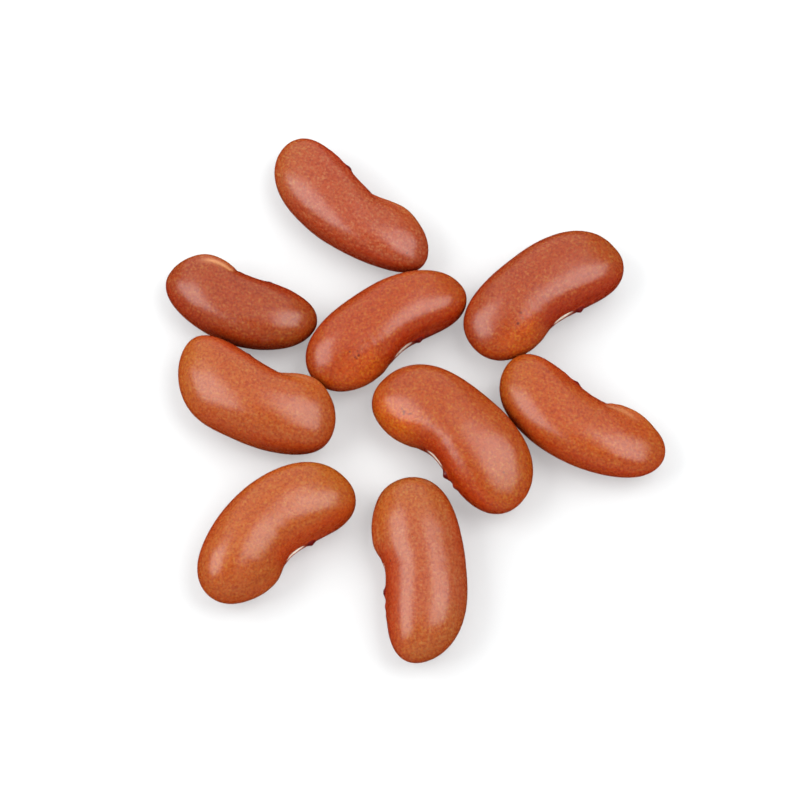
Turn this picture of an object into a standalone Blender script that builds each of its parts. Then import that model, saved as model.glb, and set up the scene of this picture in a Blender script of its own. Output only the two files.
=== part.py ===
"""Nine dried light red kidney beans, lying loose in one layer on a flat surface.

Run with: blender --background --python part.py
Blender units are metres, with +Z up. The beans' sizes and places below are in millimetres.
"""

import math
from dataclasses import dataclass

import bmesh
import bpy
from mathutils import Matrix, Vector

MM = 0.001

# Driving dimensions, shared by every bean
USUAL_LENGTH = 17.0        # end to end
USUAL_DEPTH = 8.4          # from the round back to the side with the scar
THICKNESS_SHARE = 0.76     # thickness, lying flat, as a share of the depth
RESTING_SINK = 0.12        # how much of the round underside is the flat resting spot
WAIST_REACH = 0.35         # how far the waist runs towards each end, on the scale of 0 to 1

# Mesh of one bean: rows along its length and points round it
ROWS = 28
POINTS_ROUND = 22

COLLECTION_NAME = "dried_kidney_beans"


@dataclass
class Bean:
    """One bean: where it lies, and how it differs from the usual one.

    The root end is the end that the seed's root tip lies under. The crown end is the other.
    The hollow is the saddle on the scar's side, between the two ends' lobes.
    """

    name: str
    east: float
    north: float
    heading: float                   # degrees from +X to the way that the crown end points
    length: float = USUAL_LENGTH
    root_depth: float = USUAL_DEPTH
    crown_depth: float = USUAL_DEPTH
    root_fullness: float = 0.35      # 0 is the end of an ellipse, and more is blunter
    crown_fullness: float = 0.4
    root_bow: float = 0.6            # how far the root end hooks towards the scar's side
    crown_bow: float = 0.6
    root_lean: float = 0.0           # share of its reach that the end gains at the back
    crown_lean: float = -0.1         # and that it loses at the scar's side
    hollow: float = 0.8              # depth of the hollow
    hollow_at: float = 0.0           # its place, from -1 at the root end to 1 at the crown end
    root_reach: float = 0.3          # how far the hollow runs towards each end, on that scale
    crown_reach: float = 0.55
    mirrored: bool = False           # lying on its other cheek
    root_section: float = 2.3        # 2 is an elliptical section, and more has flatter cheeks
    crown_section: float = 2.45
    root_plumpness: float = 0.15     # how much longer the thickness holds out towards the end
    crown_plumpness: float = 0.15
    taper: float = 0.0               # gain in thickness towards the crown end
    roll: float = 0.0                # slope of the bean's middle plane, up towards the back
    twist: float = 0.0               # and what it gains towards the crown end
    waist_roll: float = 0.0          # and at the waist
    waist: float = 0.02              # share of the thickness that the waist loses
    colour: tuple = (0.48, 0.10, 0.035)


BEANS = [
    Bean("bean_back", -5.0, 18.3, 141, length=18.0, root_depth=6.85, crown_depth=7.75,
         root_fullness=0.25, root_bow=0.85, crown_bow=0.45, root_lean=0.15,
         hollow=0.95, hollow_at=-0.15,
         root_section=2.55, crown_section=2.55, crown_plumpness=0.05, taper=-0.02,
         roll=0.01, twist=-0.11, waist_roll=-0.04, waist=0.0,
         colour=(0.47, 0.125, 0.065)),
    Bean("bean_back_left", -15.4, 8.6, -25.5, length=14.9, root_depth=7.3, crown_depth=7.5,
         root_fullness=0.2, crown_fullness=0.2, root_bow=0.5, crown_bow=0.5, root_lean=0.15,
         crown_lean=-0.15, hollow=0.7, hollow_at=-0.2, root_reach=0.4, mirrored=True,
         root_section=2.55, crown_section=2.3, root_plumpness=0.25, crown_plumpness=0.3,
         twist=0.12, waist=0.035, colour=(0.40, 0.09, 0.04)),
    Bean("bean_middle", -1.7, 6.5, 34, root_depth=8.0, crown_depth=7.9, root_fullness=0.3,
         crown_fullness=0.25, root_bow=0.45, hollow=0.9, hollow_at=0.15, root_reach=0.35,
         root_section=2.1, crown_section=2.6, root_plumpness=0.25, taper=0.03,
         roll=0.07, waist_roll=-0.13, colour=(0.45, 0.09, 0.035)),
    Bean("bean_back_right", 13.2, 10.0, 36, length=17.0, root_depth=8.1, crown_depth=8.4,
         root_fullness=0.45, crown_bow=0.55, hollow=0.6,
         root_section=2.1, crown_section=2.7, root_plumpness=0.0, crown_plumpness=0.25,
         taper=-0.04, roll=0.03, twist=0.04, waist_roll=-0.06, waist=0.03,
         colour=(0.45, 0.11, 0.052)),
    Bean("bean_left", -13.8, -1.1, 153.5, length=16.2, root_depth=8.25, crown_depth=8.65,
         crown_fullness=0.5, root_bow=0.75, crown_bow=0.05, root_lean=0.15, crown_lean=-0.25,
         hollow=0.95, hollow_at=-0.1, root_reach=0.35, crown_reach=0.6,
         crown_section=2.25, root_plumpness=0.05, crown_plumpness=0.05,
         roll=-0.04, twist=-0.04, waist=-0.01, colour=(0.51, 0.135, 0.056)),
    Bean("bean_centre", 5.6, -4.4, -43, length=17.8, root_depth=8.55, crown_depth=8.85,
         root_fullness=0.5, root_bow=0.7, crown_bow=0.65, root_lean=-0.1, hollow=0.85,
         hollow_at=-0.05, root_reach=0.25, crown_reach=0.3,
         root_plumpness=0.1, crown_plumpness=-0.05, taper=-0.07,
         roll=0.03, twist=-0.07, waist_roll=-0.1, colour=(0.48, 0.115, 0.044)),
    Bean("bean_right", 16.7, -3.45, 148, length=17.5, root_depth=7.6, crown_depth=7.8,
         root_fullness=0.3, crown_fullness=0.45, root_bow=0.65, crown_bow=0.7, root_lean=-0.05,
         hollow=0.75, hollow_at=-0.05, root_reach=0.25,
         root_plumpness=0.0, crown_plumpness=0.2, taper=-0.03, roll=0.08, twist=-0.13,
         colour=(0.48, 0.12, 0.044)),
    Bean("bean_front_left", -12.3, -13.9, 42, length=17.2, root_depth=8.5, crown_depth=8.7,
         root_fullness=0.2, root_bow=0.75, crown_bow=0.75, hollow=1.0, root_reach=0.25,
         crown_reach=0.5,
         root_section=1.95, root_plumpness=0.4, crown_plumpness=0.2, taper=-0.06,
         roll=0.1, twist=0.05, colour=(0.51, 0.135, 0.053)),
    Bean("bean_front", 1.9, -17.8, -85, length=17.9, root_depth=8.35, crown_depth=8.45,
         root_fullness=0.4, crown_fullness=0.35, root_bow=0.45, crown_bow=0.05,
         crown_lean=-0.2, hollow=0.75, root_reach=0.2, crown_reach=0.5,
         root_section=1.95, crown_section=2.1, root_plumpness=0.5, crown_plumpness=0.4,
         taper=-0.02, roll=0.03, twist=-0.03, waist_roll=-0.03,
         colour=(0.51, 0.15, 0.075)),
]


def clear_scene():
    """Remove what the scene holds."""
    for item in list(bpy.data.objects):
        bpy.data.objects.remove(item, do_unlink=True)


def section_point(bean, along, unit):
    """Return how far the section reaches to the back and up, and to the back's share of it."""
    ring = math.hypot(unit.y, unit.z)
    if ring < 1e-6:
        return 0.0, 0.0, 0.0
    share = 0.5 + 0.5 * math.sin(math.pi * max(-0.5, min(0.5, along)))
    power = bean.root_section + (bean.crown_section - bean.root_section) * share
    side, up = unit.y / ring, unit.z / ring
    reach = (abs(side) ** power + abs(up) ** power) ** (-1 / power)
    back = math.copysign(abs(side * reach) ** (power / 2), side)
    return side * reach * ring, up * reach * ring, back


def bean_point(bean, unit):
    """Move a point of the unit sphere, whose poles are at -X and +X, onto the bean.

    The bean lies along X with its root end at -X, its back at +Y and its scar's side at -Y.
    """
    along = max(-1.0, min(1.0, unit.x))
    if along < 0:
        fullness, bow, lean = bean.root_fullness, bean.root_bow, bean.root_lean
        plumpness = bean.root_plumpness
    else:
        fullness, bow, lean = bean.crown_fullness, bean.crown_bow, bean.crown_lean
        plumpness = bean.crown_plumpness
    side, up, back = section_point(bean, along, unit)
    lengthwise = bean.length / 2 * along * (1 + lean * math.hypot(unit.y, unit.z) * back)

    crown_share = 0.5 + 0.5 * math.sin(math.pi * along / 2)
    half_depth = (bean.root_depth + (bean.crown_depth - bean.root_depth) * crown_share) / 2
    half_thickness = (bean.root_depth + bean.crown_depth) / 4 * THICKNESS_SHARE
    spine = -bow * (1 - math.cos(math.pi * along)) / 2

    reach = bean.root_reach if along < bean.hollow_at else bean.crown_reach
    saddle = math.exp(-((along - bean.hollow_at) / reach) ** 2)
    dent = bean.hollow * saddle * ((1 - back) / 2) ** 1.5

    sideways = half_depth * (1 + fullness * along ** 2) * side
    across = spine + sideways + dent
    waist = math.exp(-(along / WAIST_REACH) ** 2)
    thick = half_thickness * (1 + plumpness * along ** 2 + bean.taper * along)
    slope = bean.roll + bean.twist * along + bean.waist_roll * waist
    height = thick * up * (1 - bean.waist * waist) + slope * sideways
    if bean.mirrored:
        across = -across
    return Vector((lengthwise, across, height))


def bean_mesh(bean):
    """Make the bean's closed mesh in metres, resting at z = 0 on a small flat spot."""
    mesh = bpy.data.meshes.new(bean.name)
    shape = bmesh.new()
    bmesh.ops.create_uvsphere(
        shape,
        u_segments=POINTS_ROUND,
        v_segments=ROWS,
        radius=1.0,
        matrix=Matrix.Rotation(math.pi / 2, 4, "Y"),
    )
    for vertex in shape.verts:
        vertex.co = bean_point(bean, vertex.co)

    floor = min(vertex.co.z for vertex in shape.verts) + RESTING_SINK
    for vertex in shape.verts:
        vertex.co.z = max(vertex.co.z, floor) - floor
    bmesh.ops.scale(shape, vec=(MM, MM, MM), verts=shape.verts)
    bmesh.ops.recalc_face_normals(shape, faces=shape.faces)
    shape.to_mesh(mesh)
    shape.free()
    mesh.shade_smooth()
    return mesh


def skin_material(bean):
    """Make the bean's satin skin in its own shade."""
    material = bpy.data.materials.new(bean.name + "_skin")
    material.use_nodes = True
    shader = material.node_tree.nodes["Principled BSDF"]
    shader.inputs["Base Color"].default_value = (*bean.colour, 1.0)
    shader.inputs["Roughness"].default_value = 0.4
    shader.inputs["Metallic"].default_value = 0.0
    material.diffuse_color = (*bean.colour, 1.0)
    return material


def add_bean(bean, group, collection):
    """Lay one bean in its place in the group."""
    mesh = bean_mesh(bean)
    mesh.materials.append(skin_material(bean))
    piece = bpy.data.objects.new(bean.name, mesh)
    piece.location = (bean.east * MM, bean.north * MM, 0.0)
    piece.rotation_euler = (0.0, 0.0, math.radians(bean.heading))
    piece.parent = group
    collection.objects.link(piece)
    return piece


def centre_group(group, pieces):
    """Shift the group so that its bounding box is centred on the world's Z axis."""
    bpy.context.view_layer.update()
    points = [piece.matrix_world @ vertex.co for piece in pieces for vertex in piece.data.vertices]
    middle_x = (min(point.x for point in points) + max(point.x for point in points)) / 2
    middle_y = (min(point.y for point in points) + max(point.y for point in points)) / 2
    group.location = (-middle_x, -middle_y, 0.0)
    bpy.context.view_layer.update()


def main():
    clear_scene()
    collection = bpy.data.collections.new(COLLECTION_NAME)
    bpy.context.scene.collection.children.link(collection)
    group = bpy.data.objects.new("bean_group", None)
    collection.objects.link(group)
    pieces = [add_bean(bean, group, collection) for bean in BEANS]
    centre_group(group, pieces)


main()
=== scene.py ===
"""The looks of nine dried light red kidney beans, lying loose on a pale surface.

Every bean is a fine mesh of its own: the same form as its solid, with the scar, the seed
lens, the root's bulge and small dents as relief, and a satin skin of its own shade.
Lengths in the bean's own frame are in millimetres, and the scene is in metres.
"""
import math
from dataclasses import dataclass

import bmesh
import bpy
import numpy as np
from mathutils import Matrix, Vector


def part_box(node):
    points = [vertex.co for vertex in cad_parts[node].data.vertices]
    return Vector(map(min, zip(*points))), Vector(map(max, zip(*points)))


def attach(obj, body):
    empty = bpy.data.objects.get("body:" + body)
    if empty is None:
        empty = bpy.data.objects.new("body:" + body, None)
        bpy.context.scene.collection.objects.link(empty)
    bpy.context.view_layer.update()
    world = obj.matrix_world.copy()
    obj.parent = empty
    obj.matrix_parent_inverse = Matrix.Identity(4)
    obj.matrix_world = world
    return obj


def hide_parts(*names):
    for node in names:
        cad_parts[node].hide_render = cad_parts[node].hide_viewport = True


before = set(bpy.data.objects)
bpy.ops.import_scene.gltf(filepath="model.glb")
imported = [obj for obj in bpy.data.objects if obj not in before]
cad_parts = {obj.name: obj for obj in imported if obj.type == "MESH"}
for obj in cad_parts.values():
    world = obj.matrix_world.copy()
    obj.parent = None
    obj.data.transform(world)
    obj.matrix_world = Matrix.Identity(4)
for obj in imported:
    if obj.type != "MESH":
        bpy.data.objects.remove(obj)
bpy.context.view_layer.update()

MM = 0.001

# The usual bean, and what all share
USUAL_LENGTH = 17.0
USUAL_DEPTH = 8.4
THICKNESS_SHARE = 0.76
RESTING_SINK = 0.12
WAIST_REACH = 0.35
KINK_REACH = 0.12
HOLLOW_FADE = 1.5                # how fast the hollow fades out over the cheeks

# How far the skin lies inside its solid, so that no relief touches the next bean
SKIN_INSET = 0.04

# Mesh of one bean: rows along its length and points round it, closer together at the scar
ROWS = 256
POINTS_ROUND = 192
ROUND_CROWDING = 0.5
ROW_CROWDING = 0.35

# The scar and what lies in line with it, measured from its middle towards the crown end
SCAR_SIDE = (0.5, 0.75)          # turns towards the scar where its relief starts and is full
SCAR_HALF_LENGTH = 1.15
SCAR_HALF_WIDTH = 0.42
SCAR_EDGE = (1.05, 0.8)          # outer and inner edge, as shares of those
RIM_AT = 1.2                     # and the rim round it
RIM_WIDTH = 0.18
LENS_AT = 1.8
LENS_LENGTH = 0.38
LENS_HALF = 0.24                 # how far off the line each of its halves is, and how wide
BUMPS_FROM = 2.65
BUMP_SPACING = 1.05
PIT_AT = -1.42
PIT_WIDTH = 0.13

# What runs along that line: where it begins, is full, begins to fade and ends
RIDGE_RUN = (1.9, 2.4, 3.2, 5.2)
ROOT_RUN = (-1.5, -2.1, -4.6, -7.2)
STREAK_RUN = (-1.5, -2.1, -3.8, -5.6)
BULGE_RUN = (-1.5, -3.1, -4.0, -7.5)

# Widths of what runs on the line, and distances from it and widths of what runs beside it
RIDGE_WIDTH = 0.38
RIDGE_FLANK = (0.95, 0.4)
CREST_WIDTH = 0.6
CREASE = (0.98, 0.26)
STREAK = (0.98, 0.2)
BULGE_WIDTH = 1.05
BULGE_FLANK = (1.5, 0.35)

# Heights and depths of the relief
SCAR_SINK = 0.07
RIM_RISE = 0.05
RIDGE_RISE = 0.09
RIDGE_FLANK_SINK = 0.05
PIT_SINK = 0.12
BULGE_RISE = 0.14
BULGE_FLANK_SINK = 0.05
CREASE_SHARE = 0.75              # the creases' depth, as a share of the root ridge's height
FULL_ROOT_RIDGE = 0.13           # the height from which that ridge's marks are at full strength

# How strongly the lens and the small pit are marked
LENS_MARK = 1.3
PIT_MARK = 0.8

# Dents of the skin: the height and size of each sort
DENTS = ((0.030, 4.5), (0.011, 1.9), (0.005, 0.7))

# Fine wrinkles by the hollow
WRINKLE_HEIGHT = 0.014
WRINKLE_SIZE = (0.5, 1.5, 1.5)
WRINKLE_SIDE = (0.55, 0.8)       # turns towards the scar where they start and are full
WRINKLE_PLACE = (-1.5, 4.0)      # their middle along the bean and their reach

# Smooth noise: the size of its table, and what brings it to about -1 to 1
NOISE_TABLE = 256
NOISE_GAIN = 1.6

# Marks of the skin's colour. A run is a pair of places along the bean, from the root end at
# -1 to the crown end at 1. A side is a pair of turns, from the back at 0 to the scar at 1.
# Painted shade: the band round the bean's middle plane and its back edge get a deeper, redder
# colour, as the skin there turns away from the lights.
EDGE_PAINTED_SHADE = 0.6
EDGE_BAND = (0.5, 0.05)          # height off the scar's line, as a share of half the thickness
LOBE_CLEARING = 0.7              # share of the edges' painted shade that a golden lobe clears
# The hollow by the scar is redder: partly the skin's own red, partly painted shade.
HOLLOW_RUN = (-0.35, -0.12)
HOLLOW_SIDE = (0.72, 1.02)
CROWN_FADE = 0.6
CROWN_FADE_RUN = (0.6, 1.0)
BACK_PAINTED_SHADE = 0.6
BACK_PAINTED_SHADE_LOSS = 0.3            # what the back's painted shade loses towards the crown end
BACK_SIDE = (0.16, 0.0)
CROWN_GOLD = 0.8
CROWN_GOLD_RUN = (0.4, 0.95)
ROOT_GOLD_RUN = (-0.3, -0.7)
GOLD_SIDE = (1.0, 0.9)
LOBE_RUN = (-0.15, -0.42)
LOBE_FADE = 0.6
LOBE_FADE_RUN = (-0.65, -0.9)
LOBE_TURN = (0.88, 0.16)         # middle and width, as in the two below
PITTED_PLACE = (-0.5, 0.14)
PITTED_TURN = (0.4, 0.07)
PITTED_SLANT = 0.7

# What each mark or noise multiplies the skin's own shade by
GOLDEN_TINT = (1.04, 1.24, 0.75)
LOBE_TINT = (1.40, 1.50, 0.35)
# deeper red: the hollow's own red, and painted shade at the edges and the back
FLUSH_AND_SHADE_TINT = (1.05, 0.52, 0.28)
ORANGE_TINT = (1.03, 1.35, 1.10)
DEEP_TINT = (0.88, 0.60, 0.50)
DARK_TINT = (0.72, 0.46, 0.40)
PALE_TINT = (1.16, 2.35, 3.60)
PIT_TINT = (0.42, 0.22, 0.22)

# Colours that take the place of the skin's shade
SPECK_BROWN = (0.08, 0.016, 0.008)
CREST_GOLD = (0.42, 0.125, 0.035)
# Painted shade: the dark red in the creases beside the root ridge.
CREASE_PAINTED_SHADE = (0.22, 0.025, 0.006)
# Painted highlight: a pale tan streak beside the root ridge, where light from behind reflects.
STREAK_PAINTED_HIGHLIGHT = (0.62, 0.30, 0.13)
RIDGE_RED = (0.22, 0.022, 0.010)
RIM_BROWN = (0.12, 0.02, 0.012)
SCAR_CREAM = (0.80, 0.72, 0.62)
SCAR_TAN = (0.60, 0.49, 0.38)
LENS_MAROON = (0.11, 0.004, 0.003)

# Marks that tint the skin, and marks that colour it up to their share
TINTED_MARKS = (("golden", GOLDEN_TINT), ("lobe", LOBE_TINT), ("flush_and_painted_shade", FLUSH_AND_SHADE_TINT))
COLOURED_MARKS = (
    ("crest", 0.5, CREST_GOLD),
    # painted shade in the creases
    ("crease_and_painted_shade", 0.3, CREASE_PAINTED_SHADE),
    # painted highlight beside the root ridge
    ("highlight_streak", 1.0, STREAK_PAINTED_HIGHLIGHT),
    ("ridge", 0.5, RIDGE_RED),
    ("rim", 0.7, RIM_BROWN),
)
LENS_SEEN = (0.15, 0.5)          # strength of the lens's mark where its colour starts and is full

# Other noises of the skin: bumps per millimetre, detail and roughness
SPECK_ZONE_NOISE = (0.45, 1.0, 0.5)
CREAM_NOISE = (3.0, 3.0, 0.5)
GLOSS_NOISE = (2.2, 3.0, 0.5)
BUMP_NOISE = (5.0, 3.0, 0.7)
PATTERN_SHIFT = 17.0             # how far the pattern moves on from bean to bean

# Specks and pits: dots per millimetre, a dot's outer and inner size, and where they are
SPECK_SCALE = 0.9
SPECK_SIZE = (0.10, 0.05)
SPECK_ZONE = (0.60, 0.70)
PIT_SCALE = 2.1
PIT_SIZE = (0.38, 0.20)
PIT_ZONE = (0.3, 0.6)

# Noise where the scar's second cream starts and is full, and the same for the duller skin
CREAM_ZONE = (0.4, 0.7)
GLOSS_ZONE = (0.3, 0.7)

# Gloss and fine bumps of the skin
SKIN_ROUGHNESS = (0.25, 0.31)
SCAR_ROUGHNESS = 0.9
SKIN_IOR = 1.5
SKIN_SPECULAR = 0.5
FIBRE_BUMP = 0.5
BUMP_STRENGTH = 0.25
BUMP_HEIGHT = 0.02

# The pale surface, in metres
FLOOR_HALF = 1.5
FLOOR_COLOUR = (0.43, 0.446, 0.460, 1.0)
# Painted light: the floor glows faintly, which lifts the shadows round the beans and lights their
# undersides.
FLOOR_PAINTED_GLOW_COLOUR = (1.0, 0.985, 0.995, 1.0)
FLOOR_PAINTED_GLOW = 0.28
FLOOR_ROUGHNESS = 0.75
FLOOR_SPECULAR = 0.2

# Lights, and the brightness of the surroundings near the floor and straight up
LIGHT_COLOUR = (1.0, 0.985, 0.95)
SKY_COLOUR = (1.0, 1.0, 1.0, 1.0)
SKY_LOW = 1.6
SKY_HIGH = 0.0

# The photograph's view
PHOTO_WIDTH = 800
PIXELS_PER_MM = 10.5
VIEW_X = -1.32
VIEW_Y = 0.65
VIEW_DISTANCE = 0.45
VIEW_ELEVATION = 70.0
SENSOR_WIDTH = 36.0
CLIP_START = 0.01
CLIP_END = 10.0


@dataclass
class Bean:
    """One bean: the form of its solid, the shape of its cheeks, its scar's place and its shade."""

    name: str
    heading: float                   # degrees from +X to the way that the crown end points
    length: float = USUAL_LENGTH
    root_depth: float = USUAL_DEPTH
    crown_depth: float = USUAL_DEPTH
    root_fullness: float = 0.35
    crown_fullness: float = 0.4
    root_bow: float = 0.6
    crown_bow: float = 0.6
    root_lean: float = 0.0
    crown_lean: float = -0.1
    hollow: float = 0.8
    hollow_at: float = 0.0
    root_reach: float = 0.3
    crown_reach: float = 0.55
    mirrored: bool = False
    root_section: float = 2.3        # 2 is an elliptical section, and more has flatter cheeks
    crown_section: float = 2.45
    root_plumpness: float = 0.15     # how much longer the thickness holds out towards the end
    crown_plumpness: float = 0.15
    taper: float = 0.0               # gain in thickness towards the crown end
    roll: float = 0.0                # slope of the bean's middle plane, up towards the back
    twist: float = 0.0               # and what it gains towards the crown end
    waist_roll: float = 0.0          # and at the waist
    kink: float = 0.0                # and what it gains all at once at the middle
    waist: float = 0.02              # share of the thickness that the waist loses
    scar_x: float = 0.25             # middle of the scar along the bean
    scar_up: float = 0.0             # its height over the bean's middle plane
    root_ridge: float = 0.03         # height of the ridge that the root tip makes in the skin
    gold: float = 0.25               # how golden the root end's lobe is
    root_gold: float = 0.0           # and how golden the whole root end
    highlight_streak: float = 0.0              # strength of the painted highlight streaks beside the root ridge
    lens: float = 0.28               # height of the seed lens
    bumps: float = 0.4               # size of the bumps past it
    grain: float = 1.0               # strength of the pale grains in the skin
    skin: tuple = (0.32, 0.052, 0.006)

    @property
    def half_thickness(self):
        """Half of the bean's thickness at its middle."""
        return (self.root_depth + self.crown_depth) / 4 * THICKNESS_SHARE


BEANS = [
    Bean("bean_back", 141, length=18.0, root_depth=6.85, crown_depth=7.75,
         root_fullness=0.25, root_bow=0.85, crown_bow=0.45, root_lean=0.15,
         hollow=0.95, hollow_at=-0.15,
         root_section=2.55, crown_section=2.55, crown_plumpness=0.05, taper=-0.02,
         roll=0.01, twist=-0.07, waist_roll=-0.04, kink=-0.04, waist=0.0,
         scar_x=0.7, scar_up=0.9, root_ridge=0.10, lens=0.24, bumps=0.1,
         skin=(0.274, 0.0423, 0.0109)),
    Bean("bean_back_left", -25.5, length=14.9, root_depth=7.3, crown_depth=7.5,
         root_fullness=0.2, crown_fullness=0.2, root_bow=0.5, crown_bow=0.5, root_lean=0.15,
         crown_lean=-0.15, hollow=0.7, hollow_at=-0.2, root_reach=0.4, mirrored=True,
         root_section=2.55, crown_section=2.3, root_plumpness=0.25, crown_plumpness=0.3,
         twist=0.12, waist=0.035,
         scar_x=0.0, scar_up=0.9, root_ridge=0.12, highlight_streak=0.6, lens=0.14, bumps=0.0,
         skin=(0.234, 0.0326, 0.0052)),
    Bean("bean_middle", 34, root_depth=8.0, crown_depth=7.9, root_fullness=0.3,
         crown_fullness=0.25, root_bow=0.45, hollow=0.9, hollow_at=0.15, root_reach=0.35,
         root_section=2.1, crown_section=2.6, root_plumpness=0.25, taper=0.03,
         roll=0.07, waist_roll=-0.13,
         gold=0.8, lens=0.32, bumps=0.7, grain=0.9,
         skin=(0.279, 0.0376, 0.0040)),
    Bean("bean_back_right", 36, length=17.0, root_depth=8.1, crown_depth=8.4,
         root_fullness=0.45, crown_bow=0.55, hollow=0.6,
         root_section=2.1, crown_section=2.7, root_plumpness=0.0, crown_plumpness=0.25,
         taper=-0.04, roll=0.03, twist=0.04, waist_roll=-0.06, waist=0.03,
         gold=1.0, lens=0.36, bumps=0.9,
         skin=(0.252, 0.0349, 0.0060)),
    Bean("bean_left", 153.5, length=16.2, root_depth=8.25, crown_depth=8.65,
         crown_fullness=0.5, root_bow=0.75, crown_bow=0.05, root_lean=0.15, crown_lean=-0.25,
         hollow=0.95, hollow_at=-0.1, root_reach=0.35, crown_reach=0.6,
         crown_section=2.25, root_plumpness=0.05, crown_plumpness=0.05,
         roll=-0.04, twist=-0.04, waist=-0.01,
         scar_x=0.5, scar_up=0.6, root_ridge=0.10, highlight_streak=0.2, lens=0.12, bumps=0.0,
         grain=0.6, skin=(0.299, 0.0563, 0.0090)),
    Bean("bean_centre", -43, length=17.8, root_depth=8.55, crown_depth=8.85,
         root_fullness=0.5, root_bow=0.7, crown_bow=0.65, root_lean=-0.1, hollow=0.85,
         hollow_at=-0.05, root_reach=0.25, crown_reach=0.3,
         root_plumpness=0.1, crown_plumpness=-0.05, taper=-0.07,
         roll=0.03, twist=-0.07, waist_roll=-0.1,
         scar_x=0.15, gold=0.9, lens=0.38, bumps=1.1, grain=0.9,
         skin=(0.280, 0.0439, 0.0049)),
    Bean("bean_right", 148, length=17.5, root_depth=7.6, crown_depth=7.8,
         root_fullness=0.3, crown_fullness=0.45, root_bow=0.65, crown_bow=0.7,
         root_lean=-0.05, hollow=0.75, hollow_at=-0.05, root_reach=0.25,
         root_plumpness=0.0, crown_plumpness=0.2, taper=-0.03, roll=0.08, twist=-0.13,
         scar_up=0.9, root_ridge=0.12, highlight_streak=0.3, lens=0.24, bumps=0.1,
         grain=0.75, skin=(0.295, 0.0473, 0.0054)),
    Bean("bean_front_left", 42, length=17.2, root_depth=8.5, crown_depth=8.7,
         root_fullness=0.2, root_bow=0.75, crown_bow=0.75, hollow=1.0, root_reach=0.25,
         crown_reach=0.5,
         root_section=1.95, root_plumpness=0.4, crown_plumpness=0.2, taper=-0.06,
         roll=0.1, twist=0.05,
         gold=0.0, grain=0.55,
         skin=(0.307, 0.0608, 0.0080)),
    Bean("bean_front", -85, length=17.9, root_depth=8.35, crown_depth=8.45,
         root_fullness=0.4, crown_fullness=0.35, root_bow=0.45, crown_bow=0.05,
         crown_lean=-0.2, hollow=0.75, root_reach=0.2, crown_reach=0.5,
         root_section=1.95, crown_section=2.1, root_plumpness=0.5, crown_plumpness=0.4,
         taper=-0.02, roll=0.03, twist=-0.03, waist_roll=-0.03,
         root_gold=0.7, grain=0.6,
         skin=(0.292, 0.0565, 0.0138)),
]


@dataclass
class Layer:
    """A noise that tints the skin of every bean, and how strongly."""

    name: str
    tint: tuple
    noise: tuple                     # bumps per millimetre, detail and roughness
    zone: tuple                      # noise where the tint starts and is full
    strength: float
    stretched: tuple = (1.0, 1.0, 1.0)


LAYERS = [
    Layer("broad", ORANGE_TINT, noise=(0.35, 2.0, 0.5), zone=(0.35, 0.65), strength=0.3),
    Layer("patches", DEEP_TINT, noise=(0.9, 3.0, 0.6), zone=(0.45, 0.75), strength=0.3),
    Layer("fibres", DEEP_TINT, noise=(1.0, 3.0, 0.65), zone=(0.4, 0.8), strength=0.35,
          stretched=(0.9, 4.0, 4.0)),
    Layer("dark_grain", DARK_TINT, noise=(4.8, 2.0, 0.6), zone=(0.45, 0.62), strength=0.85),
    Layer("pale_grain", PALE_TINT, noise=(4.1, 2.0, 0.6), zone=(0.50, 0.66), strength=0.95),
]


def smooth_step(low, high, value):
    """Rise smoothly from 0 at low to 1 at high, or fall where high is the lower one."""
    share = np.clip((value - low) / (high - low), 0.0, 1.0)
    return share * share * (3 - 2 * share)


def bell(value, middle, width):
    """A smooth bump of height 1."""
    return np.exp(-((value - middle) / width) ** 2)


def flat_bell(value, width):
    """A smooth bump of height 1 with a flat top."""
    return np.exp(-(value / width) ** 4)


def stretch_of(value, begins, full, fades, ends):
    """Rise from 0 to 1 between begins and full, and fall to 0 between fades and ends."""
    return smooth_step(begins, full, value) * smooth_step(ends, fades, value)


def bean_grid():
    """Return each point's place from root end to crown end, its turn, and the faces."""
    row = np.arange(1, ROWS) / ROWS * math.pi
    row = row + ROW_CROWDING / 2 * np.sin(2 * row)
    turn = np.arange(POINTS_ROUND) / POINTS_ROUND * 2 * math.pi
    turn = turn + ROUND_CROWDING * np.sin(turn)
    rows, turns = np.meshgrid(row, turn, indexing="ij")
    polar = np.concatenate([[0.0], rows.ravel(), [math.pi]])
    turns = np.concatenate([[0.0], turns.ravel(), [0.0]])

    ring = 1 + np.arange(POINTS_ROUND)
    after = np.roll(ring, -1)
    starts = np.arange(ROWS - 2)[:, None] * POINTS_ROUND
    corners = [ring + starts, after + starts, after + starts + POINTS_ROUND,
               ring + starts + POINTS_ROUND]
    quads = np.stack(corners, -1).reshape(-1, 4)
    last_ring = (ROWS - 2) * POINTS_ROUND
    last = len(polar) - 1
    sides = list(zip(ring.tolist(), after.tolist()))
    root_fan = [(0, b, a) for a, b in sides]
    crown_fan = [(last, a + last_ring, b + last_ring) for a, b in sides]
    return polar, turns, quads.tolist() + root_fan + crown_fan


POLAR, TURN, FACES = bean_grid()
ALONG = -np.cos(POLAR)


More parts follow.
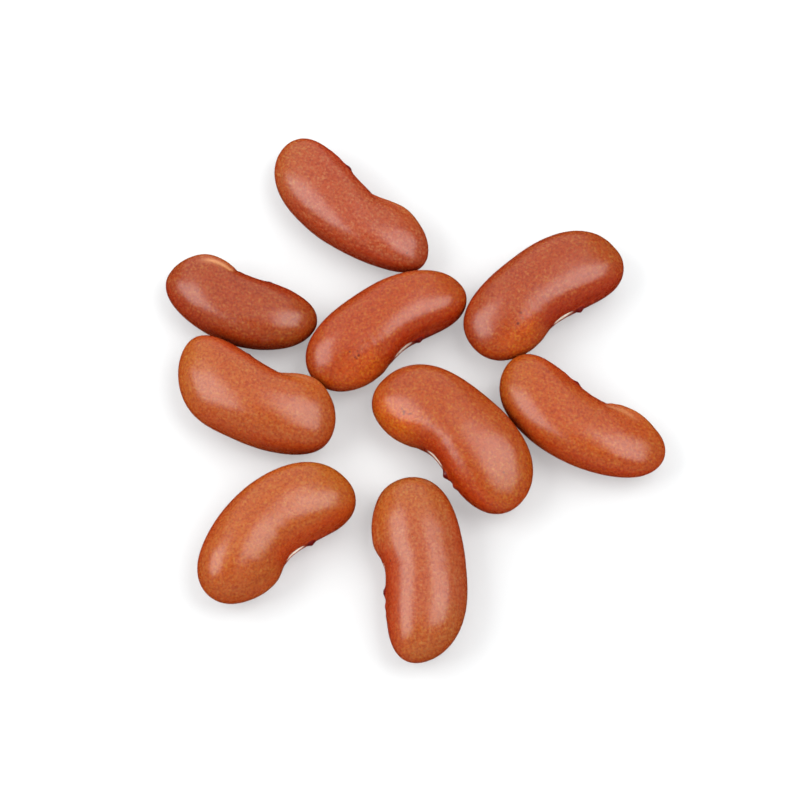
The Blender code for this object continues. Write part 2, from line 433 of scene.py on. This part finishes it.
def bean_form(bean):
    """Return the bean's points, how far each is turned to the scar's side, and its height
    over the line that the scar is on."""
    size = np.sin(POLAR)
    crown = ALONG >= 0
    fullness = np.where(crown, bean.crown_fullness, bean.root_fullness)
    plumpness = np.where(crown, bean.crown_plumpness, bean.root_plumpness)
    bow = np.where(crown, bean.crown_bow, bean.root_bow)
    lean = np.where(crown, bean.crown_lean, bean.root_lean)

    crown_share = 0.5 + 0.5 * np.sin(math.pi * ALONG / 2)
    corner_share = 0.5 + 0.5 * np.sin(math.pi * np.clip(ALONG, -0.5, 0.5))
    power = bean.root_section + (bean.crown_section - bean.root_section) * corner_share
    side, up = np.cos(TURN), np.sin(TURN)
    reach_out = (np.abs(side) ** power + np.abs(up) ** power) ** (-1 / power)
    side, up = side * reach_out, up * reach_out
    back_share = np.sign(side) * np.abs(side) ** (power / 2)
    towards_scar = (1 - back_share) / 2

    half_depth = (bean.root_depth + (bean.crown_depth - bean.root_depth) * crown_share) / 2
    spine = -bow * (1 - np.cos(math.pi * ALONG)) / 2
    reach = np.where(ALONG < bean.hollow_at, bean.root_reach, bean.crown_reach)
    dent = bean.hollow * bell(ALONG, bean.hollow_at, reach) * towards_scar ** HOLLOW_FADE
    waist = bell(ALONG, 0.0, WAIST_REACH)

    lengthwise = bean.length / 2 * ALONG * (1 + lean * size * back_share)
    sideways = half_depth * (1 + fullness * ALONG ** 2) * size * side
    swell = 1 + plumpness * ALONG ** 2 + bean.taper * ALONG
    over_line = bean.half_thickness * swell * size * up
    over_line = over_line * (1 - bean.waist * waist)
    slope = bean.roll + bean.twist * ALONG + bean.waist_roll * waist
    slope = slope + bean.kink * np.tanh(ALONG / KINK_REACH)
    points = np.stack([lengthwise, spine + sideways + dent, over_line + slope * sideways], 1)
    return points, towards_scar, over_line


def scar_relief(bean, lengthwise, towards_scar, over_line):
    """Return the height of the scar's relief at each point, and what is marked there."""
    past_scar = lengthwise - bean.scar_x
    aside = over_line - bean.scar_up
    off_line = np.abs(aside)
    near = smooth_step(*SCAR_SIDE, towards_scar)

    ring = np.hypot(past_scar / SCAR_HALF_LENGTH, aside / SCAR_HALF_WIDTH)
    plate = near * smooth_step(*SCAR_EDGE, ring)
    rim = near * bell(ring, RIM_AT, RIM_WIDTH)

    lens_halves = bell(aside, LENS_HALF, LENS_HALF) + bell(aside, -LENS_HALF, LENS_HALF)
    lens = near * bell(past_scar, LENS_AT, LENS_LENGTH) * lens_halves
    ridge_run = stretch_of(past_scar, *RIDGE_RUN)
    ridge = near * ridge_run * bell(aside, 0.0, RIDGE_WIDTH)
    ridge_flank = near * ridge_run * bell(off_line, *RIDGE_FLANK)
    bumpiness = -np.cos(2 * math.pi * (past_scar - BUMPS_FROM) / BUMP_SPACING)

    pit = near * bell(np.hypot(past_scar - PIT_AT, aside), 0.0, PIT_WIDTH)
    root_run = stretch_of(past_scar, *ROOT_RUN)
    crest = near * root_run * flat_bell(aside, CREST_WIDTH)
    # the creases beside the root ridge: sunk into the skin, and darkened as painted shade
    crease_and_painted_shade = near * root_run * bell(off_line, *CREASE)
    # painted highlight beside the root ridge
    highlight_streak = near * stretch_of(past_scar, *STREAK_RUN) * bell(off_line, *STREAK)
    bulge_run = stretch_of(past_scar, *BULGE_RUN)
    bulge = near * bulge_run * flat_bell(aside, BULGE_WIDTH)
    bulge_flank = near * bulge_run * bell(off_line, *BULGE_FLANK)

    height = (
        -SCAR_SINK * plate
        + RIM_RISE * rim
        + bean.lens * lens
        + RIDGE_RISE * ridge * (1 + bean.bumps * bumpiness)
        - RIDGE_FLANK_SINK * ridge_flank
        - PIT_SINK * pit
        + BULGE_RISE * bulge
        - BULGE_FLANK_SINK * bulge_flank
        + bean.root_ridge * (crest - CREASE_SHARE * crease_and_painted_shade)
    )
    root_strength = min(1.0, bean.root_ridge / FULL_ROOT_RIDGE)
    marks = {
        "scar": plate,
        "rim": rim,
        "lens": np.clip(lens * LENS_MARK, 0, 1) + PIT_MARK * pit,
        "crest": crest * root_strength,
        "crease_and_painted_shade": crease_and_painted_shade * root_strength,
        "highlight_streak": highlight_streak * bean.highlight_streak,
        "ridge": ridge,
    }
    return height, marks


def skin_marks(bean, towards_scar, over_line):
    """Return where the skin is redder, partly its own red and partly painted shade, where it is
    golden and where it is pitted.
    """
    crown_fade = 1 - CROWN_FADE * smooth_step(*CROWN_FADE_RUN, ALONG)
    flush_run = smooth_step(*HOLLOW_RUN, ALONG) * crown_fade
    flush_and_painted_shade = flush_run * smooth_step(*HOLLOW_SIDE, towards_scar)
    # painted shade along the back edge
    back_shade_strength = BACK_PAINTED_SHADE - BACK_PAINTED_SHADE_LOSS * ALONG
    back_edge = back_shade_strength * smooth_step(*BACK_SIDE, towards_scar)

    gold_side = smooth_step(*GOLD_SIDE, towards_scar)
    golden = CROWN_GOLD * smooth_step(*CROWN_GOLD_RUN, ALONG) * gold_side
    golden_root = bean.root_gold * smooth_step(*ROOT_GOLD_RUN, ALONG) * gold_side
    lobe_fade = 1 - LOBE_FADE * smooth_step(*LOBE_FADE_RUN, ALONG)
    lobe = smooth_step(*LOBE_RUN, ALONG) * lobe_fade * bell(towards_scar, *LOBE_TURN)
    slanted = towards_scar + PITTED_SLANT * ALONG
    pitted = bell(ALONG, *PITTED_PLACE) * bell(slanted, *PITTED_TURN)

    # painted shade in a band round the middle plane, the bean's outline from above
    edge = EDGE_PAINTED_SHADE * smooth_step(*EDGE_BAND, np.abs(over_line) / bean.half_thickness)
    edge = edge * (1 - LOBE_CLEARING * bean.gold * lobe)
    return {
        "flush_and_painted_shade": np.maximum(np.maximum(flush_and_painted_shade, edge), back_edge),
        "golden": np.maximum(golden, golden_root),
        "lobe": bean.gold * lobe,
        "pitted": bean.gold * pitted,
    }


def smooth_noise(points, seed):
    """Return smooth noise, about -1 to 1, with its bumps one unit apart."""
    source = np.random.RandomState(seed)
    order = source.permutation(NOISE_TABLE)
    slopes = source.normal(size=(NOISE_TABLE, 3))
    slopes /= np.linalg.norm(slopes, axis=1)[:, None]
    cell = np.floor(points).astype(int)
    part = points - cell
    fade = part ** 3 * (part * (part * 6 - 15) + 10)
    total = np.zeros(len(points))
    for corner in np.ndindex(2, 2, 2):
        at = (cell + corner) % NOISE_TABLE
        pick = (order[at[:, 0]] + at[:, 1]) % NOISE_TABLE
        pick = order[(order[pick] + at[:, 2]) % NOISE_TABLE]
        height = (slopes[pick] * (part - corner)).sum(1)
        weight = np.where(corner, fade, 1 - fade).prod(1)
        total += NOISE_GAIN * weight * height
    return total


def dents(bean, points, towards_scar):
    """Return the height of the skin's broad dents, and of its wrinkles by the hollow."""
    seed = 10 * (1 + BEANS.index(bean))
    total = 0.0
    for step, (height, size) in enumerate(DENTS):
        total = total + height * smooth_noise(points / size, seed + step)
    wrinkled = smooth_step(*WRINKLE_SIDE, towards_scar) * bell(points[:, 0], *WRINKLE_PLACE)
    wrinkles = smooth_noise(points / WRINKLE_SIZE, seed + len(DENTS))
    return total + WRINKLE_HEIGHT * wrinkled * wrinkles


def lay_down(bean, points):
    """Turn the bean to its heading, rest it on the floor and put it in its solid's place."""
    if bean.mirrored:
        points = points * (1, -1, 1)
    floor = points[:, 2].min() + RESTING_SINK
    points[:, 2] = np.maximum(points[:, 2], floor) - floor
    turn = np.array(Matrix.Rotation(math.radians(bean.heading), 3, "Z"))
    points = points @ turn.T * MM
    low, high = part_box(bean.name)
    place = (low + high) / 2
    middle = (points.min(0) + points.max(0)) / 2
    return points + np.array([place.x - middle[0], place.y - middle[1], low.z])


def vertex_normals(mesh):
    """Return the mesh's normals, a row for each point."""
    values = np.empty(len(mesh.vertices) * 3)
    mesh.vertex_normals.foreach_get("vector", values)
    return values.reshape(-1, 3)


def add_attribute(mesh, name, kind, values):
    """Store a number or a vector for each point of the mesh, for its material to read."""
    layer = mesh.attributes.new(name, kind, "POINT")
    field = "vector" if kind == "FLOAT_VECTOR" else "value"
    layer.data.foreach_set(field, np.ascontiguousarray(values, dtype=np.float32).ravel())


def make_bean(bean):
    """Make one bean as a fine mesh with its relief, its marks and its skin."""
    points, towards_scar, over_line = bean_form(bean)
    mesh = bpy.data.meshes.new(bean.name + "_seed")
    mesh.from_pydata(points.tolist(), [], FACES)
    mesh.update()

    height, marks = scar_relief(bean, points[:, 0], towards_scar, over_line)
    height += dents(bean, points, towards_scar) - SKIN_INSET
    relief = points + vertex_normals(mesh) * height[:, None]
    add_attribute(mesh, "bean_mm", "FLOAT_VECTOR", relief)
    marks.update(skin_marks(bean, towards_scar, over_line))
    for name, values in marks.items():
        add_attribute(mesh, name, "FLOAT", values)

    mesh.vertices.foreach_set("co", lay_down(bean, relief).ravel())
    if bean.mirrored:
        mesh.flip_normals()
    mesh.update()
    mesh.shade_smooth()
    mesh.materials.append(skin_material(bean))

    piece = bpy.data.objects.new(bean.name + "_seed", mesh)
    bpy.context.scene.collection.objects.link(piece)
    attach(piece, "root")
    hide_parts(bean.name)


class Nodes:
    """Short calls to build a material's nodes."""

    def __init__(self, material):
        material.use_nodes = True
        self.tree = material.node_tree
        self.shader = self.tree.nodes["Principled BSDF"]

    def fill(self, node, inputs):
        """Set a node's inputs, each to a value or to another node's output."""
        for name, value in inputs.items():
            if isinstance(value, bpy.types.NodeSocket):
                self.tree.links.new(value, node.inputs[name])
            else:
                node.inputs[name].default_value = value

    def add(self, kind, inputs, **settings):
        """Add a node with its settings and its inputs."""
        node = self.tree.nodes.new(kind)
        for name, value in settings.items():
            setattr(node, name, value)
        self.fill(node, inputs)
        return node

    def attribute(self, name, output="Fac"):
        """Read what add_attribute stored under the name."""
        return self.add("ShaderNodeAttribute", {}, attribute_name=name).outputs[output]

    def noise(self, place, scale, detail, roughness):
        """Noise between 0 and 1."""
        node = self.add(
            "ShaderNodeTexNoise",
            {"Vector": place, "Scale": scale, "Detail": detail, "Roughness": roughness},
        )
        return node.outputs["Fac"]

    def stretch(self, place, scale, shift=(0.0, 0.0, 0.0)):
        """Scale and shift the place that a noise is read at."""
        node = self.add("ShaderNodeMapping", {"Vector": place, "Scale": scale, "Location": shift})
        return node.outputs["Vector"]

    def ramp(self, value, low, high, to_low=0.0, to_high=1.0):
        """Go smoothly from to_low to to_high while the value goes from low to high."""
        ends = {"From Min": low, "From Max": high, "To Min": to_low, "To Max": to_high}
        node = self.add(
            "ShaderNodeMapRange", {"Value": value, **ends}, interpolation_type="SMOOTHSTEP"
        )
        return node.outputs["Result"]

    def maths(self, operation, first, second):
        """Join two numbers with a math node."""
        node = self.add("ShaderNodeMath", {0: first, 1: second}, operation=operation)
        return node.outputs[0]

    def mix(self, share, first, second, blend="MIX"):
        """Mix the second colour into the first by its share."""
        node = self.add("ShaderNodeMix", {}, data_type="RGBA", blend_type=blend)
        colours = [(*value, 1.0) if isinstance(value, tuple) else value for value in (first, second)]
        self.fill(node, {0: share, 6: colours[0], 7: colours[1]})
        return node.outputs[2]

    def dots(self, place, scale, size, zone):
        """Round dots of value 1 in a zone whose own value is from 0 to 1."""
        cells = self.add(
            "ShaderNodeTexVoronoi", {"Vector": place, "Scale": scale, "Randomness": 1.0}
        )
        return self.maths("MULTIPLY", self.ramp(cells.outputs["Distance"], *size), zone)


def skin_material(bean):
    """The satin skin: brown red with fine grains, redder at the hollow, partly its own red and
    partly painted shade, with painted shade at the edges and the back, painted shade in the creases
    by the root ridge and a painted highlight beside it, and more golden at the ends."""
    material = bpy.data.materials.new(bean.name + "_skin")
    nodes = Nodes(material)
    own = PATTERN_SHIFT * (1 + BEANS.index(bean))
    place = nodes.attribute("bean_mm", "Vector")
    place = nodes.stretch(place, (1.0, 1.0, 1.0), (own, 2 * own, 0.0))

    colour = bean.skin
    for mark, tint in TINTED_MARKS:
        colour = nodes.mix(nodes.attribute(mark), colour, tint, "MULTIPLY")
    noises = {}
    for layer in LAYERS:
        noise = nodes.noise(nodes.stretch(place, layer.stretched), *layer.noise)
        strength = layer.strength * (bean.grain if layer.name == "pale_grain" else 1.0)
        share = nodes.ramp(noise, *layer.zone, 0.0, strength)
        colour = nodes.mix(share, colour, layer.tint, "MULTIPLY")
        noises[layer.name] = noise

    speck_zone = nodes.ramp(nodes.noise(place, *SPECK_ZONE_NOISE), *SPECK_ZONE)
    specks = nodes.dots(place, SPECK_SCALE, SPECK_SIZE, speck_zone)
    colour = nodes.mix(specks, colour, SPECK_BROWN)
    pit_zone = nodes.ramp(nodes.attribute("pitted"), *PIT_ZONE)
    pits = nodes.dots(place, PIT_SCALE, PIT_SIZE, pit_zone)
    colour = nodes.mix(pits, colour, PIT_TINT, "MULTIPLY")

    for mark, share, mark_colour in COLOURED_MARKS:
        marked = nodes.maths("MULTIPLY", nodes.attribute(mark), share)
        colour = nodes.mix(marked, colour, mark_colour)
    cream_share = nodes.ramp(nodes.noise(place, *CREAM_NOISE), *CREAM_ZONE)
    cream = nodes.mix(cream_share, SCAR_CREAM, SCAR_TAN)
    colour = nodes.mix(nodes.attribute("scar"), colour, cream)
    lens_share = nodes.ramp(nodes.attribute("lens"), *LENS_SEEN)
    colour = nodes.mix(lens_share, colour, LENS_MAROON)

    rough = nodes.ramp(nodes.noise(place, *GLOSS_NOISE), *GLOSS_ZONE, *SKIN_ROUGHNESS)
    scar_rough = nodes.maths("MULTIPLY", nodes.attribute("scar"), SCAR_ROUGHNESS)
    fibre_bump = nodes.maths("MULTIPLY", noises["fibres"], FIBRE_BUMP)
    fine = nodes.maths("ADD", nodes.noise(place, *BUMP_NOISE), fibre_bump)
    bump = nodes.add(
        "ShaderNodeBump",
        {"Strength": BUMP_STRENGTH, "Distance": BUMP_HEIGHT * MM, "Height": fine},
    )
    nodes.fill(nodes.shader, {
        "Base Color": colour,
        "Roughness": nodes.maths("MAXIMUM", rough, scar_rough),
        "IOR": SKIN_IOR,
        "Specular IOR Level": SKIN_SPECULAR,
        "Normal": bump.outputs["Normal"],
    })
    return material


def add_floor():
    """The pale surface that the beans lie on, with a faint glow as painted light."""
    mesh = bpy.data.meshes.new("floor")
    shape = bmesh.new()
    bmesh.ops.create_grid(shape, x_segments=1, y_segments=1, size=FLOOR_HALF)
    shape.to_mesh(mesh)
    shape.free()
    material = bpy.data.materials.new("pale_surface")
    nodes = Nodes(material)
    nodes.fill(nodes.shader, {
        "Base Color": FLOOR_COLOUR,
        "Emission Color": FLOOR_PAINTED_GLOW_COLOUR,
        "Emission Strength": FLOOR_PAINTED_GLOW,
        "Roughness": FLOOR_ROUGHNESS,
        "Specular IOR Level": FLOOR_SPECULAR,
    })
    mesh.materials.append(material)
    floor = bpy.data.objects.new("floor", mesh)
    floor.visible_glossy = False
    bpy.context.scene.collection.objects.link(floor)


def add_softbox(name, tilt, bearing, distance, width, depth, radiance, in_gloss=True):
    """Hang a softbox: tilt is its angle from straight up, and bearing turns from +X to +Y."""
    light = bpy.data.lights.new(name, "AREA")
    light.shape = "RECTANGLE"
    light.size = width
    light.size_y = depth
    light.energy = radiance * math.pi * width * depth
    light.color = LIGHT_COLOUR
    lamp = bpy.data.objects.new(name, light)
    lean, turn = math.radians(tilt), math.radians(bearing)
    out = math.sin(lean)
    aim = Vector((out * math.cos(turn), out * math.sin(turn), math.cos(lean)))
    lamp.location = aim * distance
    lamp.visible_glossy = in_gloss
    lamp.rotation_mode = "QUATERNION"
    lamp.rotation_quaternion = aim.to_track_quat("Z", "Y")
    bpy.context.scene.collection.objects.link(lamp)


def add_sky():
    """Surroundings that are bright near the floor and fade upwards, and aren't in the gloss."""
    world = bpy.data.worlds.new("studio")
    world.use_nodes = True
    nodes, links = world.node_tree.nodes, world.node_tree.links
    background = nodes["Background"]
    background.inputs["Color"].default_value = SKY_COLOUR
    height = nodes.new("ShaderNodeSeparateXYZ")
    direction = nodes.new("ShaderNodeTexCoord")
    strength = nodes.new("ShaderNodeMapRange")
    strength.inputs["To Min"].default_value = SKY_LOW
    strength.inputs["To Max"].default_value = SKY_HIGH
    links.new(direction.outputs["Generated"], height.inputs["Vector"])
    links.new(height.outputs["Z"], strength.inputs["Value"])
    links.new(strength.outputs["Result"], background.inputs["Strength"])
    world.cycles_visibility.glossy = False
    bpy.context.scene.world = world
    bpy.context.scene.view_settings.view_transform = "Standard"


def light_scene():
    """Two softboxes for the highlights, three large soft fills and the sky."""
    add_softbox("softbox_right", tilt=30.5, bearing=4.5, distance=0.6,
                width=0.42, depth=0.45, radiance=4.45)
    add_softbox("softbox_left", tilt=46.0, bearing=180.0, distance=0.6,
                width=0.47, depth=0.40, radiance=4.65)
    add_softbox("fill_behind", tilt=42.0, bearing=102.0, distance=0.6,
                width=0.86, depth=1.2, radiance=0.75)
    add_softbox("fill_front", tilt=55.0, bearing=-90.0, distance=0.7,
                width=1.0, depth=0.8, radiance=0.9, in_gloss=False)
    add_softbox("fill_back", tilt=62.0, bearing=90.0, distance=0.7,
                width=1.0, depth=0.8, radiance=0.5, in_gloss=False)
    add_sky()


def add_camera():
    """Look down at the group from the front, as the photograph does."""
    data = bpy.data.cameras.new("camera")
    data.sensor_width = SENSOR_WIDTH
    frame_width = PHOTO_WIDTH / PIXELS_PER_MM * MM
    data.lens = SENSOR_WIDTH * VIEW_DISTANCE / frame_width
    data.clip_start = CLIP_START
    data.clip_end = CLIP_END
    camera = bpy.data.objects.new("camera", data)
    target = Vector((VIEW_X * MM, VIEW_Y * MM, 0.0))
    rise = math.radians(VIEW_ELEVATION)
    back = Vector((0.0, -math.cos(rise), math.sin(rise)))
    camera.location = target + back * VIEW_DISTANCE
    camera.rotation_mode = "QUATERNION"
    camera.rotation_quaternion = back.to_track_quat("Z", "Y")
    bpy.context.scene.collection.objects.link(camera)
    bpy.context.scene.camera = camera


for bean in BEANS:
    make_bean(bean)
add_floor()
light_scene()
add_camera()
